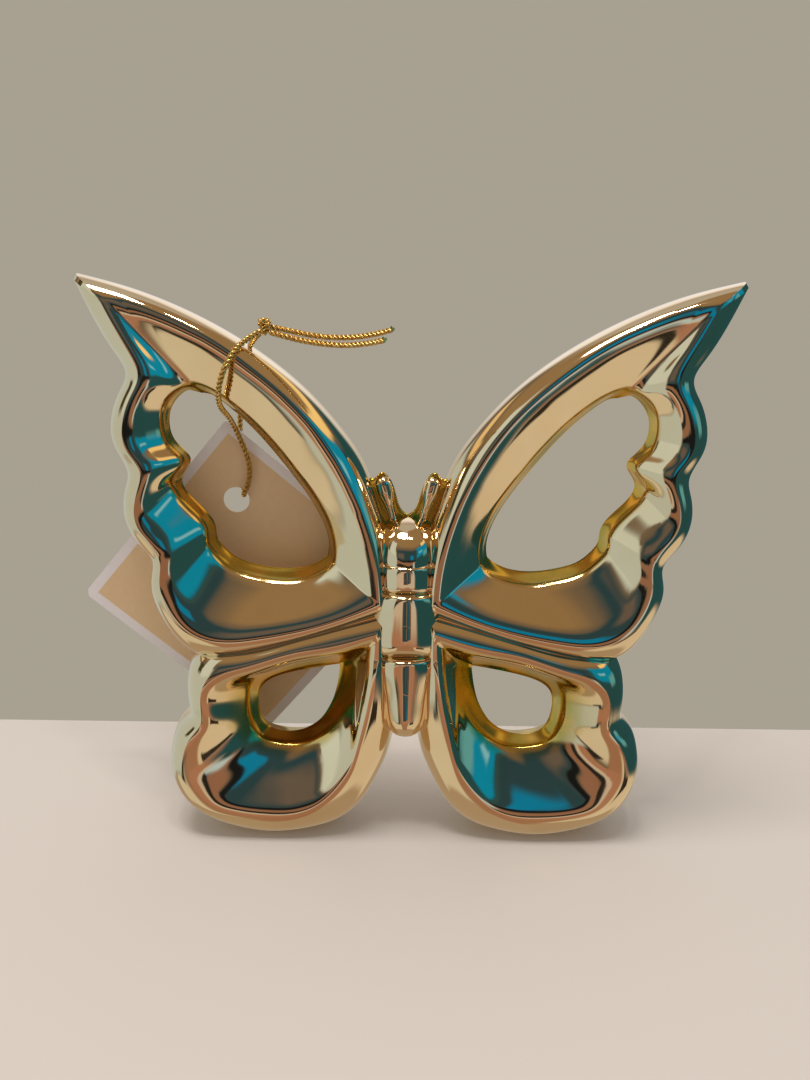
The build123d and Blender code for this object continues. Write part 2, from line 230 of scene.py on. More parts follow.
# Tag: side, thickness, corner radius, hole, rise of the hole above the middle along the diagonal,
# turn, gap behind the wings, place of its middle in x and z, curl at the corners, width of border
tag_side = 57.0 * MM
tag_thickness = 0.45 * MM
tag_corner = 0.8 * MM
tag_hole = 6.2 * MM
tag_hole_rise = 21.0 * MM
tag_tilt = radians(5.0)
tag_gap = 0.8 * MM
tag_centre = (-38.9 * MM, 57.4 * MM)
tag_curl = 0.5 * MM
tag_curl_power = 1.5
tag_border = 2.3 * MM
tag_points_around = 180
tag_rows_across = 13

# Cord of the tag: the diameter it fills, and its strands, which turn about each other
strand_count = 3
strand_radius = 0.32 * MM
strand_sides = 8
lay_radius = 0.36 * MM
turns_per_metre = 290.0
twist_step = 0.2 * MM

# Lengths of the cords along their middle lines
loop_length = 0.0974
upper_end_length = 0.0316
lower_end_length = 0.0306

# Place of the knot, and how far its line swings across, up and deep at most, in millimetres
knot_place = (-31.7, -0.5, 119.3)
knot_reach = 1.05
knot_rise = 1.6
knot_depth = 0.6
knot_points = 31

# Smoothness of the cords' lines
line_order = 3
line_resolution = 12

# Routes of the cords: the points that steer their lines, in millimetres, each from the knot on
loop_route = [
    (-32.6, -1.3, 117.9), (-34.3, -3.0, 117.0), (-35.9, -5.5, 115.7), (-37.3, -7.9, 114.0),
    (-38.7, -9.1, 111.7), (-39.8, -8.8, 109.2), (-40.7, -7.8, 106.7), (-41.2, -6.3, 104.3),
    (-41.4, -4.0, 102.2), (-41.0, -1.0, 100.5), (-40.4, 2.0, 98.8), (-39.8, 4.6, 96.5),
    (-39.0, 6.1, 93.9), (-38.0, 6.9, 91.2), (-37.2, 7.4, 88.4), (-37.0, 7.9, 85.6),
    (-37.5, 8.2, 82.5), (-38.9, 8.6, 79.7), (-39.0, 11.7, 79.4), (-39.4, 12.1, 82.7),
    (-39.6, 11.8, 87.0), (-39.7, 11.5, 91.4), (-39.6, 11.0, 96.0), (-39.3, 10.4, 100.8),
    (-38.6, 9.7, 105.4), (-37.8, 9.1, 109.4), (-36.9, 8.1, 112.6), (-35.7, 6.1, 115.1),
    (-34.2, 3.5, 116.8), (-32.5, 0.9, 118.0),
]
upper_end_route = [
    (-30.4, -0.2, 119.0), (-26.6, -1.2, 118.4), (-22.3, -2.8, 117.6), (-17.9, -4.9, 117.2),
    (-13.6, -7.4, 117.3), (-9.7, -10.2, 117.8), (-6.3, -13.0, 118.6), (-3.7, -15.7, 119.5),
]
lower_end_route = [
    (-30.4, -1.4, 117.9), (-26.8, -2.7, 117.1), (-22.7, -4.5, 116.3), (-18.4, -6.8, 115.9),
    (-14.3, -9.4, 115.8), (-10.6, -12.2, 116.2), (-7.5, -15.0, 116.8), (-5.2, -17.6, 117.5),
]

# Plating: the lustre and the duller amber each run between two colours, by the value of a noise
lustre_stops = (0.35, (0.84, 0.65, 0.41)), (0.65, (0.88, 0.71, 0.47))
# The amber is also laid over the antennae's webs as painted shade, darkening the recess between
# club and wing
amber_and_painted_shade_stops = (0.38, (0.74, 0.42, 0.07)), (0.58, (0.50, 0.36, 0.06))
amber_dullness = 0.12

# Card of the tag, its border, and the foil thread of the cord
paper_stops = (0.0, (0.68, 0.46, 0.26)), (1.0, (0.74, 0.52, 0.30))
border_color = (0.76, 0.70, 0.70)
foil_stops = (0.35, (0.50, 0.26, 0.05)), (0.60, (0.95, 0.64, 0.20))

# Table top: left, right, front and back edge, and colour
table_edges = (-0.40, 0.40, -0.30, 0.055)
table_color = (0.66, 0.58, 0.52)

# Plain light of the studio, and the plain ground behind the table
studio_color = (0.62, 0.61, 0.58)
ground_color = (0.39, 0.355, 0.285)

# Lamps: name, place, breadth, power in watts
lamps = [
    ("key", (-0.16, -0.14, 0.85), 0.30, 2.6),
    ("spot_left", (-0.05, -0.20, 0.60), 0.05, 0.30),
    ("spot_right", (0.05, -0.20, 0.60), 0.05, 0.30),
]

# The room round the ornament, as its mirror finish shows it. Each patch has its left, right, low
# and high edge, the softness of its edges, and its colour. Edges are in degrees to the right of
# straight in front and in degrees up. A later patch covers an earlier one, the base colour shows
# between them, and the ripple bends all of it a little.
room_ripple = 0.10
room_base = (0.16, 0.13, 0.10)
room_patches = [
    (-200, 200, -95, -30, 4, (0.42, 0.33, 0.23)),     # floor
    (-110, -18, -54, -29, 4, (0.66, 0.62, 0.51)),     # pale and low at the left
    (16, 130, -50, -22, 4, (0.68, 0.60, 0.47)),       # pale and low at the right
    (-18, 18, -62, -17, 4, (0.36, 0.20, 0.13)),       # brown between them
    (-52, -28, -31, -25, 1, (0.03, 0.025, 0.02)),     # dark edges of the pale ones
    (26, 54, -30, -24, 1, (0.03, 0.025, 0.02)),
    (-45, 45, -24, -17, 1, (0.42, 0.22, 0.15)),       # copper, pale, black and brown strips
    (-40, 40, -17, -13, 1, (0.60, 0.52, 0.46)),
    (-40, 40, -13, -8, 1, (0.02, 0.02, 0.02)),
    (-40, 40, -8, -2, 1, (0.30, 0.16, 0.11)),
    (-200, 200, 40, 95, 6, (0.31, 0.21, 0.11)),       # ceiling
    (-200, -150, 50, 95, 8, (0.50, 0.48, 0.45)),      # paler ceiling behind
    (150, 200, 50, 95, 8, (0.50, 0.48, 0.45)),
    (-200, -120, -30, 12, 5, (0.52, 0.49, 0.41)),     # wall behind
    (125, 200, -30, 12, 5, (0.52, 0.49, 0.41)),
    (-150, -36, -28, 23, 3, (0.53, 0.62, 0.64)),      # pale wall at the left
    (-72, -40, 10, 50, 2, (0.63, 0.74, 0.76)),        # its bright upper part
    (-95, -75, 12, 30, 4, (0.06, 0.05, 0.02)),        # a dark gap in it
    (-32, 30, 2, 32, 4, (0.025, 0.066, 0.095)),       # dark room in front
    (-28, -4, 8, 22, 4, (0.14, 0.12, 0.11)),          # greyer part of it
    (9, 19, 3, 16, 2, (0.005, 0.24, 0.55)),           # blue pane in it
    (20, 27, -14, -4, 2, (0.50, 0.66, 0.80)),         # pale pane below it
    (-32, 30, -1, 4, 1, (0.01, 0.012, 0.015)),        # black line under it
    (28, 150, -22, 32, 4, (0.02, 0.085, 0.11)),       # teal glass at the right
    (33, 88, 8, 36, 3, (0.004, 0.30, 0.62)),          # its blue part
    (42, 60, 19, 24, 2, (0.22, 0.60, 0.90)),          # a bright bar in it
    (68, 92, 2, 16, 4, (0.12, 0.42, 0.55)),           # a lighter pane in it
    (60, 150, 36, 44, 2, (1.0, 0.76, 0.36)),          # warm light at the right
    (-150, -95, 28, 36, 2, (0.85, 0.62, 0.32)),       # warm light at the left
    (152, 200, 10, 44, 10, (1.0, 1.0, 1.05)),         # white light behind
    (-200, -165, 10, 44, 10, (1.0, 1.0, 1.05)),
]

# Camera: place, how far it looks down and is rolled, in degrees, and lens and sensor in millimetres
camera_place = (-0.6 * MM, -219.9 * MM, 128.0 * MM)
camera_down = 14.4
camera_roll = 0.75
camera_lens = 33.0
camera_sensor = 36.0
camera_nearest = 0.01


# Lines and sections


def spline_samples(knots, count):
    """Samples of a natural cubic spline through rows of values, spaced by the rows' own chords."""
    knots = np.asarray(knots, float)
    flat = knots.reshape(len(knots), -1)
    chords = np.linalg.norm(np.diff(flat, axis=0), axis=1)
    places = np.concatenate([[0], np.cumsum(chords)])
    last = len(places) - 1
    system = np.eye(last + 1)
    right = np.zeros_like(flat)
    for i in range(1, last):
        before, after = chords[i - 1], chords[i]
        system[i, i - 1:i + 2] = before, 2 * (before + after), after
        right[i] = 6 * ((flat[i + 1] - flat[i]) / after - (flat[i] - flat[i - 1]) / before)
    bend = np.linalg.solve(system, right)
    wanted = np.linspace(0, places[-1], count)
    span = np.clip(np.searchsorted(places, wanted, side="right") - 1, 0, last - 1)
    size = chords[span][:, None]
    low = (wanted - places[span])[:, None]
    high = size - low
    values = (
        bend[span] * high ** 3 / (6 * size) + bend[span + 1] * low ** 3 / (6 * size)
        + (flat[span] / size - bend[span] * size / 6) * high
        + (flat[span + 1] / size - bend[span + 1] * size / 6) * low
    )
    return values.reshape((count,) + knots.shape[1:])


def eased(values, reach):
    """Samples along a run, each the mean of its neighbours within a reach, with the ends kept."""
    padded = np.concatenate([[values[0]] * reach, values, [values[-1]] * reach])
    means = np.mean([padded[i:i + len(values)] for i in range(2 * reach + 1)], axis=0)
    share = np.minimum(np.arange(len(values)), np.arange(len(values))[::-1]) / reach
    share = np.minimum(share, 1).reshape(-1, *[1] * (values.ndim - 1))
    return values + (means - values) * share


def bezier(start, corner, end, count):
    """Inner points of a curve that rounds a corner."""
    steps = np.linspace(0, 1, count + 2)[1:-1]
    return [(1 - s) ** 2 * start + 2 * s * (1 - s) * corner + s * s * end for s in steps]


def full_turn(count):
    """Angles spread evenly round a circle."""
    return np.linspace(0, 2 * pi, count + 1)[:-1]


def in_metres(shares):
    """Shares of the half span and the height, as metres."""
    return np.asarray(shares, float) * (half_span, height)


# Meshes


def added(name, data):
    """An object of the scene that holds the given data."""
    made = bpy.data.objects.new(name, data)
    bpy.context.scene.collection.objects.link(made)
    return made


def grid_mesh(name, grid, closed):
    """A mesh from rings of points, each joined to the next, and the last to the first if closed."""
    rings, around = grid.shape[:2]
    index = np.arange(rings * around).reshape(rings, around)
    ahead = np.roll(index, -1, 0)
    if not closed:
        index, ahead = index[:-1], ahead[:-1]
    quads = np.stack([index, ahead, np.roll(ahead, -1, 1), np.roll(index, -1, 1)], -1)
    mesh = bpy.data.meshes.new(name)
    mesh.from_pydata(grid.reshape(-1, 3).tolist(), [], quads.reshape(-1, 4).tolist())
    return mesh


def mark_amber_and_painted_shade(mesh, shares):
    """Note on each point its share of amber: the plating's tone in the windows, painted shade on
    the antennae's webs.
    """
    layer = mesh.attributes.new("amber", "FLOAT", "POINT")
    layer.data.foreach_set("value", np.asarray(shares, np.float32).ravel())


def finished(name, mesh, sharp_angle):
    """A linked object from a mesh: points merged, faces outward and smooth, sharp past an angle."""
    shape = bmesh.new()
    shape.from_mesh(mesh)
    bmesh.ops.remove_doubles(shape, verts=shape.verts, dist=merge_distance)
    bmesh.ops.dissolve_degenerate(shape, edges=shape.edges, dist=sliver_length)
    bmesh.ops.recalc_face_normals(shape, faces=shape.faces)
    shape.to_mesh(mesh)
    shape.free()
    mesh.polygons.foreach_set("use_smooth", [True] * len(mesh.polygons))
    if sharp_angle < pi:
        mesh.set_sharp_from_angle(angle=sharp_angle)
    return added(name, mesh)


def capped_piece(name, rings, amber=0.0, sharp_angle=pi):
    """A piece from closed rings of points one after another, with both ends drawn to a point."""
    rings = np.array(rings)
    start, end = (
        np.repeat(ring.mean(axis=1, keepdims=True), rings.shape[1], axis=1)
        for ring in (rings[:1], rings[-1:])
    )
    mesh = grid_mesh(name, np.concatenate([start, rings, end]), closed=False)
    mark_amber_and_painted_shade(mesh, [amber] * len(mesh.vertices))
    return finished(name, mesh, sharp_angle)


def joined(name, *pieces):
    """Several pieces made one, under one name."""
    whole = bmesh.new()
    for piece in pieces:
        whole.from_mesh(piece.data)
        bpy.data.objects.remove(piece)
    mesh = bpy.data.meshes.new(name)
    whole.to_mesh(mesh)
    whole.free()
    return added(name, mesh)


def cross_section(edge, crest, lip, waist, amber_reach):
    """One crossing of a wing's front from edge to window: rows of x, z, share of depth, amber."""
    def row(place, depth, amber=0.0):
        return np.array([place[0], place[1], depth, amber])

    def dish(share):
        near = max(0, 1 - (1 - share) * dish_width / amber_reach)
        depth = 1 + (lip_depth_share - 1) * share
        return row(crest + (lip - crest) * share, depth, near ** amber_fade)

    def wall(share):
        depth = lip_depth_share * (1 - share) ** wall_bend
        return row(lip + (waist - lip) * share, depth, 1.0)

    flank_width = np.linalg.norm(crest - edge)
    dish_width = np.linalg.norm(lip - crest)
    outer_share = min(crest_outer_round / flank_width, crest_outer_most)
    rows = []
    for angle in np.linspace(0, np.arccos(outer_share ** (rim_roundness / 2)), flank_rows):
        way = 1 - cos(angle) ** (2 / rim_roundness)
        rows.append(row(edge + (crest - edge) * way, sin(angle) ** (2 / rim_roundness)))
    first = min(crest_inner_round / dish_width, crest_inner_most)
    last = 1 - min(lip_outer_round / dish_width, lip_outer_most)
    rows += bezier(rows[-1], row(crest, 1.0), dish(first), crest_rows)
    rows += [dish(share) for share in np.linspace(first, last, dish_rows)]
    rows += bezier(rows[-1], row(lip, lip_depth_share, 1.0), wall(lip_inner_share), lip_rows)
    rows += [wall(share) for share in np.linspace(lip_inner_share, 1, wall_rows)]
    return np.array(rows)


def wing(name, runs, foot_depth, slant, amber_reach, side):
    """A wing's whole skin, front and back, on the right (side 1) or the left (side -1)."""
    crossings = []
    for shares, count in runs:
        rows = spline_samples(in_metres(shares), count)
        rows[:, 2:] = eased(eased(rows[:, 2:], window_ease), window_ease)
        crossings += [cross_section(*row, amber_reach) for row in rows]
    # The back is the front mirrored. They share the edge and the waist.
    front = np.array(crossings)
    full = np.concatenate([front, front[:, -2:0:-1] * (1, 1, -1, 1)], axis=1)
    x, z, depth, amber = np.moveaxis(full, -1, 0)
    z = np.maximum(z, 0)
    y = -depth * (foot_depth - slant * z)
    mesh = grid_mesh(name, np.stack([side * x, y, z], -1), closed=True)
    mark_amber_and_painted_shade(mesh, amber)
    return finished(name, mesh, wing_sharp_angle)


def antenna(name, side):
    """A teardrop club whose stalk tapers to the head, with a thin web beside it."""
    club = antenna_club(name + "_club", side)
    web = antenna_web(name + "_web", side)
    return joined(name, club, web)


def antenna_club(name, side):
    """A round stalk that swells to a ball."""
    foot, ball = in_metres([antenna_foot_share, antenna_ball_share])
    reach = np.linalg.norm(ball - foot)
    along = (ball - foot) / reach
    across = np.array([along[1], -along[0]])
    turn = full_turn(antenna_sides)
    rings = []
    for place in np.linspace(0, reach + antenna_ball / 2, antenna_rings):
        swell = np.clip((place / reach - antenna_swell_start) / antenna_swell_length, 0, 1)
        swell = swell * swell * (3 - 2 * swell)
        radius = (antenna_foot + (antenna_ball - antenna_foot) * swell) / 2
        if place > reach:
            radius = np.sqrt(max((antenna_ball / 2) ** 2 - (place - reach) ** 2, 0))
        middle = foot + along * place
        flat = middle + across * (radius * np.cos(turn))[:, None]
        rings.append(np.stack([side * flat[:, 0], -radius * np.sin(turn), flat[:, 1]], -1))
    return capped_piece(name, rings)


def antenna_web(name, side):
    """A thin web from its rolled rim to its root, both faces slightly dipped."""
    edge = spline_samples(in_metres(web_edge_shares), web_crossings)
    root = spline_samples(in_metres(web_root_shares), web_crossings)
    turn = np.linspace(-web_rim_wrap, web_rim_wrap, web_rim_rows)
    shares = np.linspace(1, 0, web_face_rows)
    dips = web_thickness / 2 - web_dip * np.sin(pi * shares)
    depths = np.concatenate([-dips, web_rim / 2 * np.sin(turn), dips[::-1]])
    rim_ways = web_rim / 2 * (1 - np.cos(turn))
    rings = []
    for outer, inner in zip(edge, root):
        width = np.linalg.norm(inner - outer)
        inward = (inner - outer) / width
        face_ways = web_face_start + (width - web_face_start) * shares
        ways = np.concatenate([face_ways, rim_ways, face_ways[::-1]])
        flat = outer + inward * ways[:, None]
        rings.append(np.stack([side * flat[:, 0], depths, flat[:, 1]], -1))
    # The whole web takes the full amber share: painted shade, a darker amber that stands for the
    # shade in the recess between club and wing
    return capped_piece(name, rings, 1.0, web_sharp_angle)


def swelling(name, outline, depth, shown_share, low_round, high_round):
    """A body piece: its outline, widened to where the wings hide it, domed to a middle line."""
    def closing(place, reach):
        """Two points that carry an open end past its neighbour and in to the middle."""
        across, up = place
        return [(across * body_end_width, up + reach * body_end_reach), (0, up + reach)]

    right = in_metres(outline) / (shown_share, 1)
    upward = right if right[0, 1] < right[-1, 1] else right[::-1]
    points = [tuple(place) for place in upward]
    if upward[0, 0] > 0:
        points = closing(upward[0], -body_overlap)[::-1] + points
    if upward[-1, 0] > 0:
        points = points + closing(upward[-1], body_overlap)
    half = spline_samples(points, body_outline_points)
    half[:, 0] = np.maximum(half[:, 0], 0)
    loop = np.concatenate([half, half[-2:0:-1] * (-1, 1)])
    low, high = half[0, 1] + low_round, half[-1, 1] - high_round
    middle = np.stack([np.zeros(len(loop)), np.clip(loop[:, 1], low, high)], -1)
    rings = []
    for angle in np.linspace(-pi / 2, pi / 2, body_rings):
        way = 1 - cos(angle) ** (2 / body_roundness)
        share = np.sign(angle) * abs(sin(angle)) ** (2 / body_roundness)
        ring = loop + (middle - loop) * way
        far = share * depth * (body_back_share if share > 0 else 1)
        rings.append(np.stack([ring[:, 0], np.full(len(ring), far), ring[:, 1]], -1))
    return capped_piece(name, rings)


def tag_outline(ways, centre):
    """Where ways from the hole's centre meet the card's edge, with the corners rounded."""
    half = tag_side / 2
    parallel = 1e-9
    outline = []
    for way in ways:
        stretch = min((half * np.sign(w) - c) / w for w, c in zip(way, centre) if abs(w) > parallel)
        place = centre + way * stretch
        inner = np.clip(place, tag_corner - half, half - tag_corner)
        offset = place - inner
        if min(abs(offset)) > 0:
            place = inner + offset * tag_corner / np.linalg.norm(offset)
        outline.append(place)
    return np.array(outline)


def tag_sheet(name):
    """The card: thin and square, with a hole, and small round corners that curl a little."""
    half = tag_side / 2
    turn = full_turn(tag_points_around)
    ways = np.stack([np.cos(turn), np.sin(turn)], -1)
    hole = tag_hole / 2 * ways
    centre = np.full(2, tag_hole_rise / np.sqrt(2))
    edge = tag_outline(ways, centre)
    slant = np.sqrt(1 + lean * lean)
    right = np.array([1.0, 0.0, 0.0])
    up = np.array([0.0, -lean, 1.0]) / slant
    back = np.array([0.0, 1.0, lean]) / slant
    face_y = fore_foot_depth - lean * tag_centre[1] + tag_gap
    origin = np.array([tag_centre[0], face_y, tag_centre[1]]) + back * tag_thickness / 2
    spin = pi / 4 + tag_tilt
    outward = np.linspace(0, 1, tag_rows_across)
    grid, flat = [], []
    for shares, side in ((outward, -1.0), (outward[::-1], 1.0)):
        for share in shares:
            place = centre + hole + (edge - centre - hole) * share
            u = place[:, 0] * cos(spin) - place[:, 1] * sin(spin)
            v = place[:, 0] * sin(spin) + place[:, 1] * cos(spin)
            curl = tag_curl * (np.abs(place).prod(axis=1) / half ** 2) ** tag_curl_power
            offset = back * (side * tag_thickness / 2 + curl[:, None])
            grid.append(origin + right * u[:, None] + up * v[:, None] + offset)
            flat.append(place)
    mesh = grid_mesh(name, np.array(grid), closed=True)
    layer = mesh.uv_layers.new(name="card")
    corners = np.zeros(len(mesh.loops), int)
    mesh.loops.foreach_get("vertex_index", corners)
    places = np.array(flat).reshape(-1, 2)[corners] / MM
    layer.data.foreach_set("uv", places.astype(np.float32).ravel())
    return finished(name, mesh, card_sharp_angle)


# Nodes


def node(tree, kind, **values):
    """A node with its properties or its inputs set by name."""
    made = tree.nodes.new(kind)
    for key, value in values.items():
        if hasattr(made, key):
            setattr(made, key, value)
        else:
            made.inputs[key.replace("_", " ")].default_value = value
    return made


def feed(tree, value, socket):
    """Give an input another node's output, a number, a vector or an opaque colour."""
    if isinstance(value, bpy.types.NodeSocket):
        tree.links.new(value, socket)
    elif socket.type == "RGBA":
        socket.default_value = (*value, 1)
    else:
        socket.default_value = value


def maths(tree, operation, *values):
    """The result of one sum, product or other operation on sockets or numbers."""
    made = node(tree, "ShaderNodeMath", operation=operation)
    for value, socket in zip(values, made.inputs):
        feed(tree, value, socket)
    return made.outputs["Value"]


# Cord


def shown_mesh(holder):
    """The mesh that an object shows when all that is set on it has run."""
    bpy.context.view_layer.update()
    graph = bpy.context.evaluated_depsgraph_get()
    return bpy.data.meshes.new_from_object(holder.evaluated_get(graph))


def cord_line(name, route):
    """A curve along a route given in millimetres."""
    curve = bpy.data.curves.new(name, "CURVE")
    curve.dimensions = "3D"
    curve.resolution_u = line_resolution
    spline = curve.splines.new("NURBS")
    spline.points.add(len(route) - 1)
    for point, place in zip(spline.points, route):
        point.co = (place[0] * MM, place[1] * MM, place[2] * MM, 1)
    spline.order_u = line_order
    spline.use_endpoint_u = True
    return added(name, curve)


def rope_tree(material):
    """Geometry nodes that lay twisted strands along a curve."""
    tree = bpy.data.node_groups.new("twisted_cord", "GeometryNodeTree")
    link = tree.links.new
    face = tree.interface
    face.new_socket("Geometry", in_out="INPUT", socket_type="NodeSocketGeometry")
    for name, kind, value in (
        ("Strand radius", "Float", strand_radius),
        ("Lay radius", "Float", lay_radius),
        ("Turns per metre", "Float", turns_per_metre),
        ("Step", "Float", twist_step),
        ("Strands", "Int", strand_count),
    ):
        socket = face.new_socket(name, in_out="INPUT", socket_type="NodeSocket" + kind)
        socket.default_value = value
    face.new_socket("Geometry", in_out="OUTPUT", socket_type="NodeSocketGeometry")
    given = node(tree, "NodeGroupInput").outputs

    # The line, turned about itself as it goes
    points = node(tree, "GeometryNodeResampleCurve", mode="LENGTH")
    link(given["Geometry"], points.inputs["Curve"])
    link(given["Step"], points.inputs["Length"])
    normal = node(tree, "GeometryNodeSetCurveNormal")
    link(points.outputs["Curve"], normal.inputs["Curve"])
    along = node(tree, "GeometryNodeSplineParameter")
    turns = maths(tree, "MULTIPLY", along.outputs["Length"], given["Turns per metre"])
    tilt = node(tree, "GeometryNodeSetCurveTilt")
    link(normal.outputs["Curve"], tilt.inputs["Curve"])
    link(maths(tree, "MULTIPLY", turns, 2 * pi), tilt.inputs["Tilt"])

    # The section, one circle to each strand
    lay = node(tree, "GeometryNodeCurvePrimitiveCircle")
    link(given["Strands"], lay.inputs["Resolution"])
    link(given["Lay radius"], lay.inputs["Radius"])
    strand = node(tree, "GeometryNodeCurvePrimitiveCircle", Resolution=strand_sides)
    link(given["Strand radius"], strand.inputs["Radius"])
    spread = node(tree, "GeometryNodeInstanceOnPoints")
    link(lay.outputs["Curve"], spread.inputs["Points"])
    link(strand.outputs["Curve"], spread.inputs["Instance"])
    section = node(tree, "GeometryNodeRealizeInstances")
    link(spread.outputs["Instances"], section.inputs["Geometry"])

    # The section drawn along the line
    sweep = node(tree, "GeometryNodeCurveToMesh", Fill_Caps=True)
    link(tilt.outputs["Curve"], sweep.inputs["Curve"])
    link(section.outputs["Geometry"], sweep.inputs["Profile Curve"])
    smooth = node(tree, "GeometryNodeSetShadeSmooth")
    link(sweep.outputs["Mesh"], smooth.inputs["Geometry"])
    real = node(tree, "GeometryNodeRealizeInstances")
    link(smooth.outputs["Geometry"], real.inputs["Geometry"])
    paint = node(tree, "GeometryNodeSetMaterial", Material=material)
    link(real.outputs["Geometry"], paint.inputs["Geometry"])
    link(paint.outputs["Geometry"], node(tree, "NodeGroupOutput").inputs["Geometry"])
    return tree


def rope(name, route, tree):
    """A twisted cord along a route: its mesh piece and the points that it follows."""
    holder = cord_line(name + "_line", route)
    line = shown_mesh(holder)
    points = [v.co.copy() for v in line.vertices]
    bpy.data.meshes.remove(line)
    modifier = holder.modifiers.new("twist", "NODES")
    modifier.node_group = tree
    mesh = shown_mesh(holder)
    bpy.data.objects.remove(holder)
    return added(name, mesh), points


def knot_route():
    """Points of a small overhand knot drawn tight, in millimetres."""
    turns = np.linspace(0, 2 * pi, knot_points)
    across = knot_reach / 3 * (np.sin(turns) + 2 * np.sin(2 * turns))
    deep = -knot_depth * np.sin(3 * turns)
    up = knot_rise / 3 * (np.cos(turns) - 2 * np.cos(2 * turns))
    return [tuple(np.add(knot_place, place)) for place in zip(across, deep, up)]


# Materials


def mixed(tree, share, first, second):
    """Two colours blended: the first where the share is nought, the second where it is one."""
    blend = node(tree, "ShaderNodeMix", data_type="RGBA")
    for value, name in ((share, "Factor"), (first, "A"), (second, "B")):
        feed(tree, value, blend.inputs[name])
    return blend.outputs["Result"]


def ramp(tree, value, stops):
    """A colour that runs between two stops, each a position and a colour."""
    made = node(tree, "ShaderNodeValToRGB")
    for element, (position, color) in zip(made.color_ramp.elements, stops):
        element.position = position
        element.color = (*color, 1)
    tree.links.new(value, made.inputs["Fac"])
    return made.outputs["Color"]


def noise(tree, place, scale, detail, output="Fac"):
    """Cloudy noise at a place."""
    made = node(tree, "ShaderNodeTexNoise", Scale=scale, Detail=detail)
    tree.links.new(place, made.inputs["Vector"])
    return made.outputs[output]


def new_material(name, roughness=None, metallic=None):
    """A material with nodes: the material, its tree and its shader."""
    material = bpy.data.materials.new(name)
    material.use_nodes = True
    tree = material.node_tree
    shader = tree.nodes["Principled BSDF"]
    for socket, value in (("Roughness", roughness), ("Metallic", metallic)):
        if value is not None:
            shader.inputs[socket].default_value = value
    return material, tree, shader


def raise_surface(tree, shader, relief, strength, distance):
    """Let a shader's surface rise and fall with a relief."""
    bump = node(tree, "ShaderNodeBump", Strength=strength, Distance=distance)
    tree.links.new(relief, bump.inputs["Height"])
    tree.links.new(bump.outputs["Normal"], shader.inputs["Normal"])


def plated_gold():
    """Mirror-bright champagne lustre, amber in the windows and as painted shade on the antennae's
    webs, faintly uneven like a dipped glaze.
    """
    material, tree, shader = new_material("plated_gold", metallic=1.0)
    link = tree.links.new
    place = node(tree, "ShaderNodeTexCoord").outputs["Object"]
    # The amber share: the windows' tone, and painted shade over the antennae's webs
    amber_and_painted_shade_share = node(tree, "ShaderNodeAttribute", attribute_name="amber").outputs["Fac"]
    speck = noise(tree, place, scale=140.0, detail=4.0)
    lustre = ramp(tree, noise(tree, place, scale=55.0, detail=3.0), lustre_stops)
    amber = ramp(tree, speck, amber_and_painted_shade_stops)
    link(mixed(tree, amber_and_painted_shade_share, lustre, amber), shader.inputs["Base Color"])
    rough = node(
        tree, "ShaderNodeMapRange", From_Min=0.3, From_Max=0.75, To_Min=0.035, To_Max=0.075
    )
    link(speck, rough.inputs["Value"])
    dull = maths(tree, "MULTIPLY_ADD", amber_and_painted_shade_share, amber_dullness, rough.outputs["Result"])
    link(dull, shader.inputs["Roughness"])
    wave = noise(tree, place, scale=70.0, detail=1.0)
    raise_surface(tree, shader, wave, strength=0.25, distance=0.6 * MM)
    return material


def tag_card():
    """Thin beige card with a paler border, mapped in millimetres from its middle."""
    material, tree, shader = new_material("tag_card", roughness=0.5)
    place = node(tree, "ShaderNodeUVMap", uv_map="card").outputs["UV"]
    across_up = node(tree, "ShaderNodeSeparateXYZ")
    tree.links.new(place, across_up.inputs["Vector"])
    paper = ramp(tree, noise(tree, place, scale=0.6, detail=4.0), paper_stops)
    reach = (tag_side / 2 - tag_border) / MM
    within = [maths(tree, "COMPARE", across_up.outputs[axis], 0, reach) for axis in "XY"]
    border = maths(tree, "SUBTRACT", 1, maths(tree, "MULTIPLY", *within))
    tree.links.new(mixed(tree, border, paper, border_color), shader.inputs["Base Color"])
    return material


def metallic_thread():
    """Foil thread: bright old gold with fine windings."""
    material, tree, shader = new_material("metallic_thread", roughness=0.26, metallic=0.9)
    place = node(tree, "ShaderNodeTexCoord").outputs["Object"]
    foil = noise(tree, place, scale=2600.0, detail=2.0)
    tree.links.new(ramp(tree, foil, foil_stops), shader.inputs["Base Color"])
    raise_surface(tree, shader, foil, strength=0.2, distance=0.1 * MM)
    return material


def table_paint():
    """Pale paint that mirror rays pass, so that the finish shows the room below it too."""
    material, tree, shader = new_material("table_paint", roughness=0.7)
    feed(tree, table_color, shader.inputs["Base Color"])
    ray = node(tree, "ShaderNodeLightPath")
    clear = node(tree, "ShaderNodeBsdfTransparent")
    either = node(tree, "ShaderNodeMixShader")
    output = tree.nodes["Material Output"]
    for source, socket in (
        (ray.outputs["Is Glossy Ray"], either.inputs["Fac"]),
        (shader.outputs["BSDF"], either.inputs[1]),
        (clear.outputs["BSDF"], either.inputs[2]),
        (either.outputs["Shader"], output.inputs["Surface"]),
    ):
        tree.links.new(source, socket)
    return material


# Light


def within_angles(tree, value, low, high, soft):
    """One inside a range and nought outside it, with soft edges. The range is in degrees."""
    edges = []
    for outer, inner in ((low - soft, low + soft), (high + soft, high - soft)):
        edge = node(
            tree, "ShaderNodeMapRange", interpolation_type="SMOOTHSTEP",
            From_Min=radians(outer), From_Max=radians(inner),
        )
        tree.links.new(value, edge.inputs["Value"])
        edges.append(edge.outputs["Result"])
    return maths(tree, "MULTIPLY", *edges)


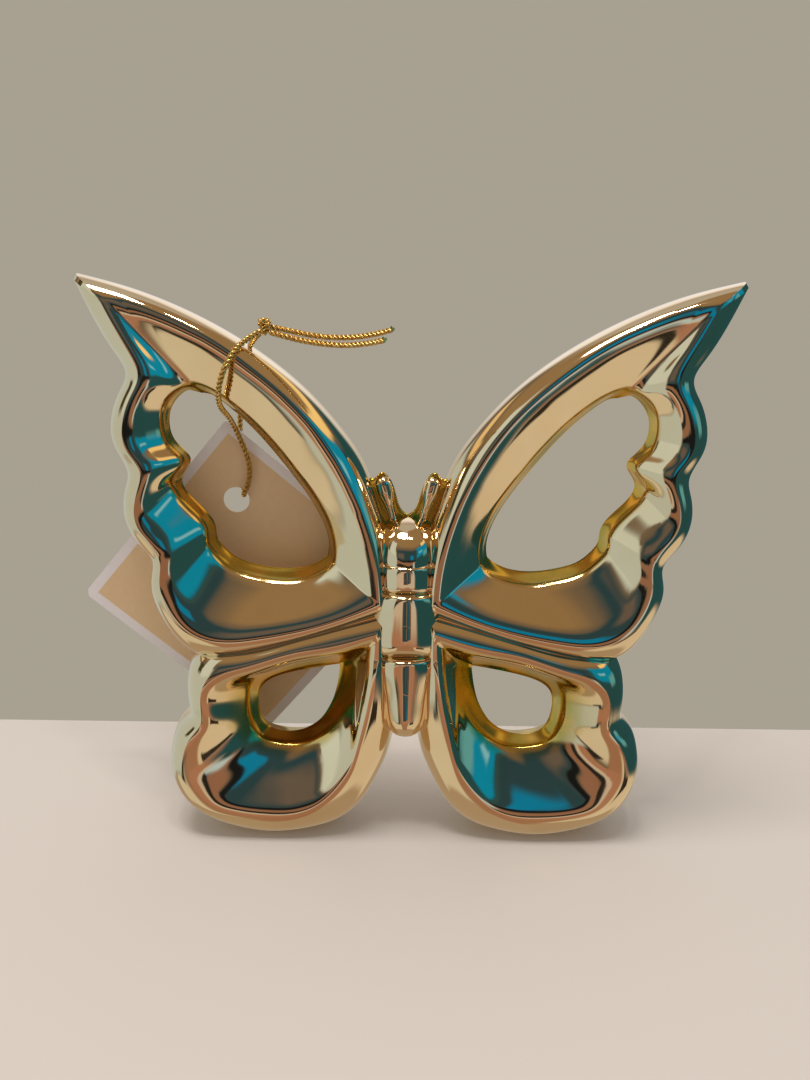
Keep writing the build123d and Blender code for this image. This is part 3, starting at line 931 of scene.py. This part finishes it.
def room_light(tree):
    """Colour of the room by direction, as a mirror finish shows it."""
    link = tree.links.new
    way = node(tree, "ShaderNodeTexCoord").outputs["Generated"]
    shift = node(tree, "ShaderNodeVectorMath", operation="MULTIPLY_ADD")
    ripple = noise(tree, way, scale=3.0, detail=2.0, output="Color")
    for value, socket in zip((ripple, (room_ripple,) * 3, way), shift.inputs):
        feed(tree, value, socket)
    unit = node(tree, "ShaderNodeVectorMath", operation="NORMALIZE")
    link(shift.outputs["Vector"], unit.inputs["Vector"])
    parts = node(tree, "ShaderNodeSeparateXYZ")
    link(unit.outputs["Vector"], parts.inputs["Vector"])
    forward = maths(tree, "MULTIPLY", parts.outputs["Y"], -1)
    azimuth = maths(tree, "ARCTAN2", parts.outputs["X"], forward)
    elevation = maths(tree, "ARCSINE", parts.outputs["Z"])
    shown = room_base
    for left, right, low, high, soft, color in room_patches:
        across = within_angles(tree, azimuth, left, right, soft)
        upward = within_angles(tree, elevation, low, high, soft)
        shown = mixed(tree, maths(tree, "MULTIPLY", across, upward), shown, color)
    return shown


def build_table():
    """A pale table top."""
    left, right, front, back = table_edges
    corners = [(left, front, 0), (right, front, 0), (right, back, 0), (left, back, 0)]
    mesh = bpy.data.meshes.new("table_top")
    mesh.from_pydata(corners, [], [(0, 1, 2, 3)])
    mesh.materials.append(table_paint())
    piece = added("table_top", mesh)


def build_lamps():
    """Soft round lamps, turned to the middle of the ornament."""
    for name, place, size, power in lamps:
        lamp = bpy.data.lights.new(name, "AREA")
        lamp.shape = "DISK"
        lamp.size = size
        lamp.energy = power
        holder = added(name, lamp)
        holder.location = place
        way = Vector((0, 0, height / 2)) - Vector(place)
        holder.rotation_euler = way.to_track_quat("-Z", "Y").to_euler()


def build_world():
    """Plain light and a plain ground for the camera, and the room for mirror rays."""
    world = bpy.data.worlds.new("studio")
    bpy.context.scene.world = world
    world.use_nodes = True
    tree = world.node_tree
    ray = node(tree, "ShaderNodeLightPath").outputs
    plain = mixed(tree, ray["Is Camera Ray"], studio_color, ground_color)
    light = mixed(tree, ray["Is Glossy Ray"], plain, room_light(tree))
    tree.links.new(light, tree.nodes["Background"].inputs["Color"])


def aim_camera():
    """The photograph's viewpoint, in front of the ornament and a little above its wing tips."""
    camera = bpy.data.cameras.new("camera")
    camera.sensor_fit = "VERTICAL"
    camera.sensor_height = camera_sensor
    camera.lens = camera_lens
    camera.clip_start = camera_nearest
    holder = added("camera", camera)
    down = Euler((radians(90 - camera_down), 0, 0)).to_matrix()
    turn = down @ Matrix.Rotation(radians(camera_roll), 3, "Z")
    holder.matrix_world = Matrix.Translation(camera_place) @ turn.to_4x4()
    bpy.context.scene.camera = holder


# The pieces, each in place of its node


def dress(piece, name, body, finish):
    """Set a finished piece in place of its node."""
    piece.data.materials.clear()
    piece.data.materials.append(finish)
    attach(piece, body)
    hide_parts(name)


def build_ornament(gold):
    """Wings, antennae and body pieces."""
    def plated(piece, name):
        dress(piece, name, "ornament", gold)

    fore = [(fore_lead_shares, fore_lead_crossings), (fore_trail_shares, fore_trail_crossings)]
    hind = [(hind_shares, hind_crossings)]
    for side, word in ((1, "right"), (-1, "left")):
        for name, runs, foot_depth, slant, amber_reach in (
            ("forewing", fore, fore_foot_depth, lean, amber_reach_fore),
            ("hindwing", hind, rim_depth, 0, amber_reach_hind),
        ):
            piece = wing(name + "_skin_" + word, runs, foot_depth, slant, amber_reach, side)
            plated(piece, name + "_" + word)
        plated(antenna("antenna_skin_" + word, side), "antenna_" + word)
    for name, shape in body_swellings.items():
        plated(swelling(name + "_skin", **shape), name)


def build_cords(thread):
    """The knot, the loop round the rim and the two loose ends."""
    tree = rope_tree(thread)
    knot, _ = rope("knot_strands", knot_route(), tree)
    dress(knot, "cord_knot", "ornament", thread)
    for name, route, length, far_end, pieces in (
        ("tag_cord_loop", loop_route, loop_length, "knot", [knot]),
        ("tag_cord_end_upper", upper_end_route, upper_end_length, "bare", []),
        ("tag_cord_end_lower", lower_end_route, lower_end_length, "bare", []),
    ):
        piece, points = rope(name + "_strands", route, tree)
        dress(piece, name, "ornament", thread)


gold = plated_gold()
thread = metallic_thread()
card = tag_card()
build_ornament(gold)
build_cords(thread)
dress(tag_sheet("tag_card_sheet"), "hang_tag", "tag", card)
build_table()
build_lamps()
build_world()
aim_camera()
bpy.context.scene.view_settings.view_transform = "Standard"
